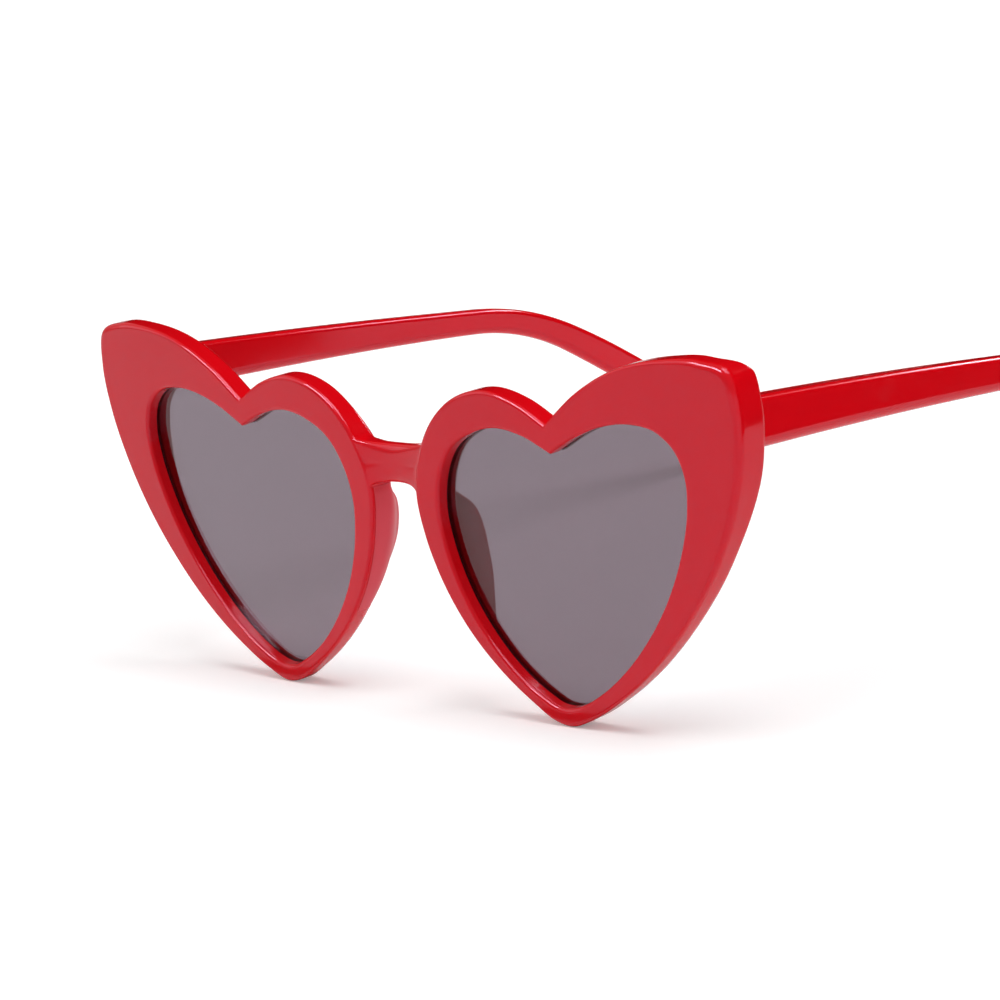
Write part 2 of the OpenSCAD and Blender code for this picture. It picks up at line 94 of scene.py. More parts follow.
# Place of a temple's second section as a share of its end roll, least share of its roll at the tip, and
# greatest distance of a line beside a roll as a share of its thickness
BUTT_ROW, TIP_ROLL, KEEP_SHARE = 0.3, 0.3, 0.01
# Outline of a nose pad's back edge: share of its height down from its top, share of its reach
PAD_REACHES = [[0.00, 0.00], [0.05, 0.32], [0.12, 0.68], [0.20, 0.90], [0.34, 1.00], [0.50, 0.95],
               [0.66, 0.78], [0.80, 0.50], [0.92, 0.20], [1.00, 0.00]]
# Least reach of a pad, distance of its skin from the rim's front roll, and turn of its back edge in degrees
PAD_LEAST, PAD_KEEP, PAD_TURN = 0.00035, 0.0001, (-20, 156)
# Shares of a pad's height over which its skin fades at its top and bottom, and what is left of it there
SKIN_FADE, SKIN_LEFT = (0.06, 0.25), 0.15
# Pull of the pad's nose side at its back edge, and at the rim as shares of the back roll and of the reach
PAD_LEAVE, PAD_MEET = 0.3, (0.9, 0.25)

# Steps of an outline between two of its points, and of a rolled edge
OUTLINE_STEPS, ROLL_STEPS = 12, 8
# Distance of the line that keeps a face flat beside a roll, and greatest roll as a share of half a thickness
EDGE_KEEP, ROLL_SHARE = 0.00012, 0.98
# Distance under which two points are one
MERGE = 1e-7
# Greatest angle between two faces that still shade as one smooth surface, in radians
SMOOTH_ANGLE = 0.6


def size(name, description, default):
    """A length that a user may change."""
    return FloatProperty(name=name, description=description, default=default, min=0.0,
                         precision=5, subtype="DISTANCE", unit="LENGTH")


def angle(name, description, degrees):
    """An angle that a user may change."""
    return FloatProperty(name=name, description=description, default=np.radians(degrees),
                         subtype="ANGLE", unit="ROTATION")


def share(name, description, default):
    """A share from 0 to 1 that a user may change."""
    return FloatProperty(name=name, description=description, default=default, min=0.0, max=1.0,
                         precision=3, subtype="FACTOR")


def colour(name, description, default):
    """A colour that a user may change."""
    return FloatVectorProperty(name=name, description=description, default=default, size=3,
                               min=0.0, max=1.0, subtype="COLOR")


def strength(name, description, default, unit="NONE"):
    """A lamp's strength that a user may change."""
    return FloatProperty(name=name, description=description, default=default, min=0.0, unit=unit)


class FrontSizes(bpy.types.PropertyGroup):
    """Sizes of the front, the bridge and the nose pads."""

    front_w: size("Front width", "Width over both hearts", 0.14679)
    heart_h: size("Heart height", "Height of a heart from its point to its outer lobe", 0.05808)
    heart_gap: size("Heart gap", "Distance between the hearts where they come closest", 0.0104)
    wrap_r: size("Wrap radius", "Radius of the wrap of the front, seen from above", 1.1)
    rim_depth: size("Rim depth", "Depth of the rims at their lobes", 0.0049)
    low_rim_depth: size("Low rim depth", "Depth of the rims at their points", 0.0044)
    wing_depth: size("Wing depth", "Depth of the wings that carry the hinges", 0.0059)
    wing_start: size("Wing start", "Distance from the middle where the wing deepens", 0.053)
    wing_run: size("Wing run", "Length over which the wing deepens", 0.0065)
    wing_top_shift: size("Wing top shift", "How much further out the wing deepens at its top", 0.015)
    top_thin: size("Top thinning", "Depth by which the tops thin from opening to outline", 0.001)
    edge_roll: size("Edge roll", "Radius over the rims' outer front edge", 0.0007)
    wing_roll: size("Wing roll", "Radius over the wings' outer front edge", 0.0014)
    back_roll: size("Back roll", "Radius over the lobes' outer back edge", 0.0007)
    low_back_roll: size("Low back roll", "Radius over the points' outer back edge", 0.002)
    opening_roll: size("Opening roll", "Radius over the front edge of an opening", 0.0007)
    nose_rim_w: size("Nose rim width", "Width between the nose gap and an opening", 0.0049)
    wing_w: size("Wing width", "Width outside an opening", 0.0114)
    bottom_rim_h: size("Bottom rim height", "Height of the rim under an opening", 0.0029)
    top_rim_h: size("Top rim height", "Height of the rim over an opening", 0.0102)
    groove_in: size("Groove depth", "Depth of the lens groove into the rim", 0.0008)
    lens_t: size("Lens thickness", "Thickness of a lens", 0.0015)
    lens_set: size("Lens set", "Depth of a lens's face behind the rim's face", 0.0021)
    lens_clear: size("Lens clearance", "Clearance of a lens in its groove", 0.00006)
    bridge_h: size("Bridge height", "Height of the bridge at its middle", 0.0062)
    bridge_place: share("Bridge place", "Height of the bridge as a share of the hearts'", 0.666)
    bridge_depth: size("Bridge depth", "Depth of the bridge from front to back", 0.0032)
    bridge_set: size("Bridge set", "Depth of the bridge's face behind the rims'", 0.0007)
    bridge_flare: size("Bridge flare", "Height that the bridge gains at each rim", 0.0011)
    bridge_fillet: size("Bridge fillet", "Run of the rounded corner between bridge and rim", 0.0032)
    pad_drop: size("Pad drop", "Distance of a pad's top below the bridge's middle", 0.0041)
    pad_h: size("Pad height", "Height of a nose pad", 0.021)
    pad_reach: size("Pad reach", "Reach of a nose pad behind the rim", 0.0046)
    pad_lean: size("Pad lean", "Lean of a pad's back edge away from the nose", 0.0013)
    pad_edge_t: size("Pad edge", "Thickness of a pad at its back edge", 0.0015)
    pad_inset: size("Pad inset", "Distance of a pad's foot from the rim's edges", 0.00045)
    bond_gap: size("Glue gap", "Gap of glue under a pad", 0.00004)
    pad_bulge: size("Pad bulge", "Bulge of a pad's nose side at the rim's back edge", 0.00014)
    pad_skin: size("Pad skin", "Thickness of the skin in which a pad runs out on the rim", 0.00007)


class TempleSizes(bpy.types.PropertyGroup):
    """Sizes of the temples and of the pockets for their hinge leaves."""

    temple_h: size("Temple height", "Height at the hinge", 0.0078)
    temple_t: size("Temple thickness", "Thickness at the hinge", 0.0038)
    ear_t: size("Ear thickness", "Thickness at the ear", 0.003)
    inset: size("Inset", "Distance of the outer face inside the side of the front", 0.0007)
    butt_gap: size("Butt gap", "Clearance behind the front", 0.00012)
    shank_l: size("Shank length", "Length from the hinge to the ear bend", 0.078)
    bend_r: size("Bend radius", "Radius of the ear bend", 0.058)
    ear_r: size("Ear radius", "Radius of the gentle curve behind the ear", 0.22)
    shank_slope: angle("Shank slope", "Downward slope at the hinge", 4.2)
    bend_slope: angle("Bend slope", "Downward slope where the ear bend starts", 7.2)
    ear_slope: angle("Ear slope", "Downward slope where the ear bend ends", 31)
    ear_in: size("Ear inset", "Inward set of the ear tip", 0.002)
    roll: size("Roll", "Radius over the upper edges", 0.0009)
    low_roll: size("Low roll", "Radius over the lower edges", 0.0018)
    low_share: share("Low roll share", "Greatest share of the thickness that one lower roll takes", 0.48)
    end_roll: size("End roll", "Roll of the edge at the butt end", 0.00022)
    tip_thin: share("Tip thinning", "Thickness left at the end of the tip", 0.35)
    hinge_drop: size("Hinge drop", "Distance of the hinge below the top of the hearts", 0.01018)
    barrel_r: size("Barrel radius", "Radius of the hinge barrels", 0.00125)
    barrel_l: size("Barrel length", "Length of the three knuckles together", 0.0043)
    barrel_clear: size("Barrel clearance", "Distance of a barrel from the temple", 0.00015)
    barrel_rise: size("Barrel rise", "Distance of a barrel from the wing", 0.00025)
    leaf_t: size("Leaf thickness", "Thickness of a hinge leaf", 0.0008)
    front_leaf_w: size("Front leaf width", "Width of the front leaf", 0.006)
    temple_leaf_l: size("Temple leaf length", "Length of the temple leaf", 0.01)
    temple_leaf_h: size("Temple leaf height", "Height of the temple leaf", 0.0032)
    anchor_depth: size("Anchor depth", "Depth of the anchor under a leaf", 0.0011)
    anchor_w: size("Anchor width", "Width of the anchor under a leaf", 0.0016)
    leaf_clear: size("Leaf clearance", "Clearance of a leaf in its pocket", 0.00003)


class Finishes(bpy.types.PropertyGroup):
    """Colours and finishes."""

    red: colour("Red", "Main red of the polished plastic", (0.76, 0.001, 0.006))
    deep_red: colour("Deep red", "Darker red that drifts through the plastic", (0.71, 0.001, 0.005))
    # The pads' reds are paler and pinker than the front's, though the pads are the same plastic: painted
    # sheen, for the pink reflection they show.
    pad_red_with_painted_sheen: colour("Pad red with painted sheen", "Main red of the satin nose pads", (0.79, 0.055, 0.075))
    deep_pad_red_with_painted_sheen: colour("Deep pad red with painted sheen", "Darker red that drifts through the pads", (0.75, 0.045, 0.065))
    shine: colour("Shine", "Tint of the plastic's reflections", (0.96, 0.68, 0.93))
    tint: colour("Lens tint", "Tint of the lenses", (0.184, 0.1415, 0.1695))
    # The lens edge is near black: a ground, matt edge, darkened further as painted shade of the groove it
    # sits in.
    shade_painted_lens_edge: colour("Shade-painted lens edge", "Ground edge of a lens in the groove", (0.020, 0.012, 0.014))
    leaf: colour("Hinge metal", "Satin metal of the hinge leaves", (0.72, 0.71, 0.69))
    screw: colour("Screw metal", "Bright metal of the screws", (0.80, 0.80, 0.80))
    dust: share("Dust", "Amount of fine dust and wear on the polish", 0.35)
    polish: share("Polish", "Roughness of the polished plastic", 0.11)
    pad_polish: share("Pad polish", "Roughness of the nose pads", 0.42)


class StageSizes(bpy.types.PropertyGroup):
    """Floor, cards and lamps."""

    floor_r: size("Floor size", "Half the side of the floor", 6.0)
    floor_colour: colour("Floor", "Colour of the floor", (0.90, 0.90, 0.90))
    sky: strength("Sky", "Strength of the even light from all round", 0.35)
    key: strength("Key lamp", "Strength of the wide light over the front", 1.97)
    side: strength("Side lamp", "Strength of the wide light at the side", 0.35)
    spread: angle("Lamp spread", "Angle over which a wide light spreads", 40)
    rim: strength("Rim lamp", "Strength of the strip lamp behind, in watts", 2.4, "POWER")
    glint: strength("Glint lamp", "Strength of the strip lamp over the front, in watts", 9.0, "POWER")
    glow: share("Floor glow", "Light that the floor adds where it is seen or looked through", 0.24)


# Curves and profiles

def ease(t):
    """0 to 1 with level ends: 3 t^2 - 2 t^3."""
    t = np.clip(t, 0, 1)
    return t * t * (3 - 2 * t)


def hermite(a, b, leave, arrive, t):
    """Cubic from a to b that leaves and arrives with the given speeds."""
    return a * (1 - ease(t)) + b * ease(t) + leave * t * (1 - t) ** 2 - arrive * t * t * (1 - t)


def smooth_curve(points):
    """Points along a closed outline: cubics through the given ones, whose last is the first again.

    The speed at a point is the mean of its two chords' directions, each weighted by the other chord's length.
    """
    chords = np.diff(points, axis=0)
    d = np.linalg.norm(chords, axis=1)[:, None]
    inner = (chords[:-1] * d[1:] / d[:-1] + chords[1:] * d[:-1] / d[1:]) / (d[:-1] + d[1:])
    speeds = np.concatenate([chords[:1] / d[:1], inner, chords[-1:] / d[-1:]])
    t = (np.arange(OUTLINE_STEPS) / OUTLINE_STEPS)[None, :, None]
    return hermite(points[:-1, None], points[1:, None], (speeds[:-1] * d)[:, None], (speeds[1:] * d)[:, None],
                   t).reshape(-1, 2)


def smooth_table(table, x):
    """Values of a cubic through a table of (place, value). A row's slope is that between its neighbours."""
    place, value = np.array(table, float).T
    row, last = np.arange(len(place)), len(place) - 1
    before, after = np.maximum(row - 1, 0), np.minimum(row + 1, last)
    slope = (value[after] - value[before]) / (place[after] - place[before])
    k = np.clip(np.searchsorted(place, x, side="right") - 1, 0, last - 1)
    d = place[k + 1] - place[k]
    return hermite(value[k], value[k + 1], slope[k] * d, slope[k + 1] * d, (x - place[k]) / d)


def quarter_turn(steps=ROLL_STEPS):
    """Angles from 0 to a right angle."""
    return np.linspace(0, np.pi / 2, steps + 1)


# Shape of the front

def heart_lines(s):
    """Outline of the left heart and of its opening, point for point, as (across, up)."""
    heart_w = (s.front_w - s.heart_gap) / 2
    nose = s.heart_gap / 2
    opening_w = heart_w - s.nose_rim_w - s.wing_w
    opening_h = s.heart_h - s.bottom_rim_h - s.top_rim_h
    heart = HEART_SHARES * [heart_w, s.heart_h] + [nose, 0]
    opening = OPENING_SHARES * [opening_w, opening_h] + [nose + s.nose_rim_w, s.bottom_rim_h]
    return smooth_curve(heart), smooth_curve(opening)


def face_y(s, u):
    """How far the wrap takes the front's face back at a distance u from the middle: r - sqrt(r^2 - u^2)."""
    return s.wrap_r - np.sqrt(s.wrap_r ** 2 - u * u)


def rise(s, between, v):
    """Share of a growth that runs between two heights."""
    return ease((v / s.heart_h - between[0]) / (between[1] - between[0]))


def depth_at(s, u, v, t=0):
    """Depth of the rim: it grows from the points to the lobes, and again into the wings.

    Over the lobes it thins again as t goes from 0 at the opening to 1 at the outline.
    """
    rim = s.low_rim_depth + (s.rim_depth - s.low_rim_depth) * rise(s, LOBE_RISE, v)
    rim = rim - s.top_thin * rise(s, TOP_THIN, v) * t
    start = s.wing_start + s.wing_top_shift * rise(s, WING_SHIFT, v)
    return rim + (s.wing_depth - rim) * rise(s, WING_RISE, v) * ease((u - start) / s.wing_run)


def back_roll_at(s, v):
    """Radius of the outer back edge, wide at the points and narrow at the lobes."""
    return s.low_back_roll + (s.back_roll - s.low_back_roll) * rise(s, LOBE_RISE, v)


def rim_section(s, w, u, v):
    """Section of the rim at every station, from the opening's front edge outward and back round.

    Each row is (distance from the opening, depth, share of the rim's full depth that is added to it).
    Also gives the rows between which the bridge leaves the outer wall.
    """
    out = ease((u - s.wing_start) / (s.front_w / 2 - s.wing_start))
    roll = s.edge_roll + (s.wing_roll - s.edge_roll) * out
    back, lip = back_roll_at(s, v), s.opening_roll
    low = lip / 2
    turns = quarter_turn()
    rows = [(lip * (1 - np.cos(a)), lip * (1 - np.sin(a)), 0) for a in turns]
    rows += [(lip + EDGE_KEEP, 0, 0), ((w + lip - roll) / 2, 0, 0), (w - roll - EDGE_KEEP, 0, 0)]
    rows += [(w - roll * (1 - np.sin(a)), roll * (1 - np.cos(a)), 0) for a in turns]
    front_row = len(rows) - 1 - ROLL_STEPS * 2 // 3
    rows += [(w, roll * (1 - k) - back * k, k) for k in WALL_SHARES]
    rows += [(w - back * (1 - np.cos(a)), -back * (1 - np.sin(a)), 1) for a in turns]
    back_row = len(rows) - 1 - ROLL_STEPS
    rows += [(w - back - EDGE_KEEP, 0, 1), ((w - back + low) / 2, 0, 1), (low + EDGE_KEEP, 0, 1)]
    rows += [(low * (1 - np.sin(a)), -low * (1 - np.cos(a)), 1) for a in turns]
    far, near = s.lens_set + s.lens_t + s.lens_clear, s.lens_set - s.lens_clear
    rows += [(0, far, 0), (s.groove_in, far, 0), (s.groove_in, near, 0), (0, near, 0)]
    section = [np.stack([part + 0 * w for part in row], -1) for row in rows]
    return np.stack(section, 1), front_row, back_row


def rim_grid(s):
    """Points of the left rim, stations x section rows. A section stands on the line from opening to heart."""
    heart, opening = heart_lines(s)
    across = heart - opening
    w = np.linalg.norm(across, axis=1)
    section, front_row, back_row = rim_section(s, w, heart[:, 0], heart[:, 1])
    flat = opening[:, None] + (across / w[:, None])[:, None] * section[..., :1]
    u, v = flat[..., 0], flat[..., 1]
    y = face_y(s, u) + section[..., 1] + section[..., 2] * depth_at(s, u, v, section[..., 0] / w[:, None])
    return np.stack([u, y, v], -1), front_row, back_row


def squared_ring(counts, half_y, half_z):
    """A ring of |cos|^p and |sin|^p, cut at its four corners into sides of evenly spaced points.

    It starts at the upper front corner and runs down the front, back along the bottom and up the back.
    """
    a = np.pi / 4 - np.linspace(0, 2 * np.pi, 4 * RING_STEPS + 1)
    c, n = np.cos(a), np.sin(a)
    y = -half_y * np.sign(c) * np.abs(c) ** RING_POWER
    z = half_z * np.sign(n) * np.abs(n) ** RING_POWER
    run = np.concatenate([[0], np.cumsum(np.hypot(np.diff(y), np.diff(z)))])
    corner = run[::RING_STEPS]
    places = np.concatenate([np.linspace(corner[k], corner[k + 1], count, endpoint=False)
                             for k, count in enumerate(counts)])
    return np.interp(places, run, y), np.interp(places, run, z)


def bridge_half(s, grid, low, high, front_row, back_row, steps=14):
    """Half of the bridge, grown out of a gap in the rim's nose side.

    Every point of the gap's border runs to its partner on the ring at the middle along a cubic. It leaves the
    rim within the rim's own surface, towards the gap's middle, and comes in square to the middle plane.
    """
    tall, deep = high - low, back_row - front_row
    i = np.concatenate([np.arange(high, low, -1), np.full(deep, low),
                        np.arange(low, high), np.full(deep, high)])
    j = np.concatenate([np.full(tall, front_row), np.arange(front_row, back_row),
                        np.full(tall, back_row), np.arange(back_row, front_row, -1)])
    border = grid[i, j]
    along, across = (np.roll(grid, -1, k)[i, j] - np.roll(grid, 1, k)[i, j] for k in (0, 1))
    normal = np.cross(along, across)
    normal /= np.linalg.norm(normal, axis=1)[:, None]
    inward = grid[low:high, front_row:back_row].reshape(-1, 3).mean(0) - border
    inward -= (inward * normal).sum(1)[:, None] * normal
    inward /= np.linalg.norm(inward, axis=1)[:, None]
    y, z = squared_ring([tall, deep, tall, deep], s.bridge_depth / 2, s.bridge_h / 2)
    target = np.stack([0 * y, s.bridge_set + s.bridge_depth / 2 + y, s.heart_h * s.bridge_place + z], -1)
    flare = np.stack([0 * y, 0 * y, z / (s.bridge_h / 2) * s.bridge_flare], -1)
    arrive = np.array([-s.heart_gap / 2 - s.bridge_fillet, 0, 0])
    t = (np.arange(1, steps + 1) / steps)[:, None, None]
    return hermite(border, target, inward * s.bridge_fillet, arrive, t) + flare * t * (1 - t) ** 2, i, j


def ring_faces(rows, columns, closed=False):
    """Quads of a grid whose columns run round, and whose rows may also."""
    i, j = np.meshgrid(np.arange(rows if closed else rows - 1), np.arange(columns), indexing="ij")
    n, m = (i + 1) % rows, (j + 1) % columns
    return np.stack([i * columns + j, i * columns + m, n * columns + m, n * columns + j], -1)


def tube(points):
    """Points and faces of a row of sections, closed at both ends."""
    rows, columns = points.shape[:2]
    ends = [list(range(columns)), list(range((rows - 1) * columns, rows * columns))]
    return points.reshape(-1, 3), ring_faces(rows, columns).reshape(-1, 4).tolist() + ends


def front_half(s):
    """The left rim with its half of the bridge: points and quads."""
    grid, front_row, back_row = rim_grid(s)
    stations, rows = grid.shape[:2]
    u, v = heart_lines(s)[0].T
    inside = (np.abs(v - s.heart_h * s.bridge_place) < s.bridge_h / 2 + s.bridge_flare) & (u < s.heart_gap)
    inside &= np.arange(stations) >= BRIDGE_POINT * OUTLINE_STEPS
    low, high = np.flatnonzero(inside)[[0, -1]]
    faces = ring_faces(stations, rows, True)
    faces[low:high, front_row:back_row] = -1
    faces = faces.reshape(-1, 4)
    sweep, i, j = bridge_half(s, grid, low, high, front_row, back_row)
    later = stations * rows + np.arange(sweep.shape[0] * len(i)).reshape(-1, len(i))
    lines = np.concatenate([(i * rows + j)[None], later])
    bridge = lines.reshape(-1)[ring_faces(*lines.shape).reshape(-1, 4)]
    return (np.concatenate([grid.reshape(-1, 3), sweep.reshape(-1, 3)]),
            np.concatenate([faces[faces[:, 0] >= 0], bridge]))


# Meshes

def add_object(name, data):
    """A new object in the scene."""
    thing = bpy.data.objects.new(name, data)
    bpy.context.scene.collection.objects.link(thing)
    return thing


def new_piece(name, points, faces):
    """A mesh object at the origin: doubles merged, faces outward, smooth but for its sharp edges."""
    mesh = bpy.data.meshes.new(name)
    mesh.from_pydata(points.tolist(), [], [list(f) for f in faces])
    b = bmesh.new()
    b.from_mesh(mesh)
    bmesh.ops.remove_doubles(b, verts=b.verts, dist=MERGE)
    bmesh.ops.recalc_face_normals(b, faces=b.faces)
    b.to_mesh(mesh)
    b.free()
    mesh.validate()
    piece = add_object(name, mesh)
    shade(piece)
    return piece


def shade(piece):
    """Smooth shading, with edges over the smooth angle kept sharp."""
    piece.data.shade_smooth()
    piece.data.set_sharp_from_angle(angle=SMOOTH_ANGLE)


def box_points(box, grow):
    """Corners and faces of a box, given as its ranges along x, y and z and grown on every side."""
    low, high = np.array(box).T + [[-grow], [grow]]
    corners = np.array([[x, y, z] for x in (0, 1) for y in (0, 1) for z in (0, 1)])
    faces = [[0, 1, 3, 2], [4, 6, 7, 5], [0, 4, 5, 1], [2, 3, 7, 6], [0, 2, 6, 4], [1, 5, 7, 3]]
    return low + corners * (high - low), faces


def cut_pocket(piece, box, grow):
    """Cuts a box out of a piece."""
    cutter = new_piece("pocket", *box_points(box, grow))
    cut = piece.modifiers.new("pocket", "BOOLEAN")
    cut.object = cutter
    cut.operation = "DIFFERENCE"
    cut.solver = "EXACT"
    done = bpy.data.meshes.new_from_object(piece.evaluated_get(bpy.context.evaluated_depsgraph_get()))
    piece.modifiers.remove(cut)
    old = piece.data
    piece.data = done
    done.name = piece.name
    bpy.data.meshes.remove(old)
    bpy.data.objects.remove(cutter)
    shade(piece)


def leaf_boxes(s, a, side):
    """Boxes of a side's two hinge leaves: front plate, front anchor, temple plate, temple anchor."""
    middle_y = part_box("left_temple")[1].y
    inner = s.front_w / 2 - a.inset - a.temple_t
    x = inner - a.barrel_clear - a.barrel_r
    wing = face_y(s, x) + s.wing_depth - middle_y
    y = wing + a.barrel_rise + a.barrel_r
    z = s.heart_h - a.hinge_drop
    plate_x = x + a.barrel_r - a.front_leaf_w / 2
    plate_y = y + a.temple_leaf_l / 2
    half = a.anchor_w / 2

    def about(middle, reach):
        return middle - reach, middle + reach

    boxes = [(about(plate_x, a.front_leaf_w / 2), (wing - a.leaf_t, wing + a.barrel_rise / 2),
              about(z, a.barrel_l / 2)),
             (about(plate_x, half), (wing - a.leaf_t - a.anchor_depth, wing - a.leaf_t / 2), about(z, half)),
             ((inner, inner + a.leaf_t), (y, y + a.temple_leaf_l), about(z, a.temple_leaf_h / 2)),
             ((inner + a.leaf_t / 2, inner + a.leaf_t + a.anchor_depth), about(plate_y, half),
              about(z, half))]
    return boxes if side > 0 else [((-right, -left), deep, up) for (left, right), deep, up in boxes]


def placed(points, side=1):
    """Points moved from the front's own place to the middle of the whole, on their side."""
    return (points - [0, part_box("left_temple")[1].y, 0]) * [side, 1, 1]


# Materials

FLOAT, COLOUR = "NodeSocketFloat", "NodeSocketColor"
# Marks in a polish: stretch and turn of their noise, its density, and the values between which they show
HAIRLINES_ALONG = ((1, 30, 1), (0.3, 0.5, 0.9), 140.0, 0.66, 0.72)
HAIRLINES_ACROSS = ((30, 1, 1), (0.8, 0.2, 0.4), 120.0, 0.66, 0.72)
DUST_SPECKS = ((1, 1, 1), (0, 0, 0), 2600.0, 0.72, 0.78)
SMEARS = ((1, 1, 2), (0.4, 0, 0.2), 60.0, 0.45, 0.75)
# Strength of the hairlines and the smears in the mask, and of the dust and the hairlines in the height
MASK_SHARES = (0.6, 0.35)
HEIGHT_SHARES = (0.6, 0.4)
# What wear adds to the roughness of the plastic
WORN_ROUGHNESS = 0.28
PLASTIC_IOR = 1.49


def feed(node, inputs):
    """Gives a node's inputs fixed values or other nodes' outputs."""
    for key, value in inputs.items():
        if isinstance(value, bpy.types.NodeSocket):
            node.id_data.links.new(value, node.inputs[key])
        else:
            node.inputs[key].default_value = value


def add_node(tree, kind, inputs=None, **settings):
    """A new node with its settings and inputs."""
    node = tree.nodes.new(kind)
    for key, value in settings.items():
        setattr(node, key, value)
    feed(node, inputs or {})
    return node


def maths(tree, operation, a, b):
    """Result of a sum on two values or outputs."""
    return add_node(tree, "ShaderNodeMath", {0: a, 1: b}, operation=operation).outputs[0]


def object_place(tree):
    """Place of a point in its object's own axes."""
    return add_node(tree, "ShaderNodeTexCoord").outputs["Object"]


def new_group(name, inputs, outputs):
    """A node group, what it is given, and the node that takes its results."""
    group = bpy.data.node_groups.new(name, "ShaderNodeTree")
    for in_out, sockets in (("INPUT", inputs), ("OUTPUT", outputs)):
        for socket, kind in sockets.items():
            group.interface.new_socket(name=socket, in_out=in_out, socket_type=kind)
    return group, add_node(group, "NodeGroupInput").outputs, add_node(group, "NodeGroupOutput")


def noise(tree, place, scale, detail, **more):
    """Values of a noise at the given places."""
    inputs = {"Vector": place, "Scale": scale, "Detail": detail, **more}
    return add_node(tree, "ShaderNodeTexNoise", inputs).outputs["Fac"]


def map_range(tree, value, inputs, kind="LINEAR"):
    """A value that is mapped from one range to another."""
    return add_node(tree, "ShaderNodeMapRange", {"Value": value, **inputs},
                    interpolation_type=kind).outputs["Result"]


def polish_wear_group(name):
    """Fine wear of a polished surface: hairline scratches in two directions, specks of dust, and soft smears.

    Each set of marks is a noise, stretched along one direction and kept only at its peaks.
    """
    group, given, out = new_group(name, {"Scale": FLOAT, "Amount": FLOAT}, {"Mask": FLOAT, "Height": FLOAT})
    scaled = add_node(group, "ShaderNodeVectorMath", {0: object_place(group), "Scale": given["Scale"]},
                      operation="SCALE")

    def peaks(stretch, turn, density, low, high):
        place = add_node(group, "ShaderNodeMapping",
                         {"Vector": scaled.outputs[0], "Rotation": turn, "Scale": stretch})
        values = noise(group, place.outputs[0], density, detail=2.0)
        return map_range(group, values, {"From Min": low, "From Max": high}, "SMOOTHSTEP")

    lines = maths(group, "MAXIMUM", peaks(*HAIRLINES_ALONG), peaks(*HAIRLINES_ACROSS))
    dust = peaks(*DUST_SPECKS)
    fine = maths(group, "MAXIMUM", maths(group, "MULTIPLY", lines, MASK_SHARES[0]), dust)
    mask = maths(group, "ADD", fine, maths(group, "MULTIPLY", peaks(*SMEARS), MASK_SHARES[1]))
    height = maths(group, "SUBTRACT", maths(group, "MULTIPLY", dust, HEIGHT_SHARES[0]),
                   maths(group, "MULTIPLY", lines, HEIGHT_SHARES[1]))
    feed(out, {"Mask": maths(group, "MULTIPLY", mask, given["Amount"]),
               "Height": maths(group, "MULTIPLY", height, given["Amount"])})
    return group


def slow_drift_group(name):
    """A colour that drifts slowly between two tones, by a broad soft noise."""
    group, given, out = new_group(name, {"First": COLOUR, "Second": COLOUR, "Scale": FLOAT},
                                  {"Color": COLOUR})
    values = noise(group, object_place(group), given["Scale"], detail=3.0, Distortion=0.6)
    way = map_range(group, values, {"From Min": 0.3, "From Max": 0.7})
    mix = add_node(group, "ShaderNodeMix", {"Factor": way, "A": given["First"], "B": given["Second"]},
                   data_type="RGBA")
    feed(out, {"Color": mix.outputs["Result"]})
    return group


def place_group(material, name, **values):
    """Outputs of a shared node group that is placed in a material with its own values."""
    makers = {"Polish wear": polish_wear_group, "Slow drift": slow_drift_group}
    group = bpy.data.node_groups.get(name) or makers[name](name)
    return add_node(material.node_tree, "ShaderNodeGroup", values, node_tree=group).outputs


def new_material(name, inputs):
    """A material whose Principled surface has the given values."""
    material = bpy.data.materials.new(name)
    material.use_nodes = True
    shader = material.node_tree.nodes["Principled BSDF"]
    feed(shader, inputs)
    return material, shader


def roughen(material, shader, value, low, high):
    """A shader's roughness, between two as the value goes from 0 to 1."""
    feed(shader, {"Roughness": map_range(material.node_tree, value, {"To Min": low, "To Max": high})})


def add_bump(material, shader, height, distance):
    """A bump of the given height in metres on a shader."""
    bump = add_node(material.node_tree, "ShaderNodeBump",
                    {"Height": height, "Distance": distance, "Strength": 1.0})
    feed(shader, {"Normal": bump.outputs["Normal"]})


def drift(material, tone, other, scale):
    """Colour that drifts between two tones."""
    return place_group(material, "Slow drift", First=(*tone, 1), Second=(*other, 1), Scale=scale)["Color"]


def dimmed(tone, factor):
    """A tone times a factor."""
    return tuple(channel * factor for channel in tone)


def worn_surface(f, name, inputs, tones, drift_scale, wear_scale, rough, bump=0.0):
    """A material whose colour drifts between two tones and whose polish is worn between two roughnesses."""
    material, shader = new_material(name, inputs)
    wear = place_group(material, "Polish wear", Scale=wear_scale, Amount=f.dust)
    feed(shader, {"Base Color": drift(material, *tones, drift_scale)})
    roughen(material, shader, wear["Mask"], *rough)
    if bump:
        add_bump(material, shader, wear["Height"], bump)
    return material


def acetate(f, name, tones, polish):
    """Red plastic with hairlines and dust."""
    return worn_surface(f, name, {"IOR": PLASTIC_IOR, "Specular Tint": (*f.shine, 1)}, tones,
                        drift_scale=26.0, wear_scale=1.0, rough=(polish, polish + WORN_ROUGHNESS),
                        bump=0.000002)


def red_acetate(f, name):
    """The polished red of the front and the temples."""
    return acetate(f, name, (f.red, f.deep_red), f.polish)


def satin_acetate_painted_sheen(f, name):
    """The satin red of the nose pads, made paler and pinker than the front's as painted sheen."""
    return acetate(f, name, (f.pad_red_with_painted_sheen, f.deep_pad_red_with_painted_sheen), f.pad_polish)


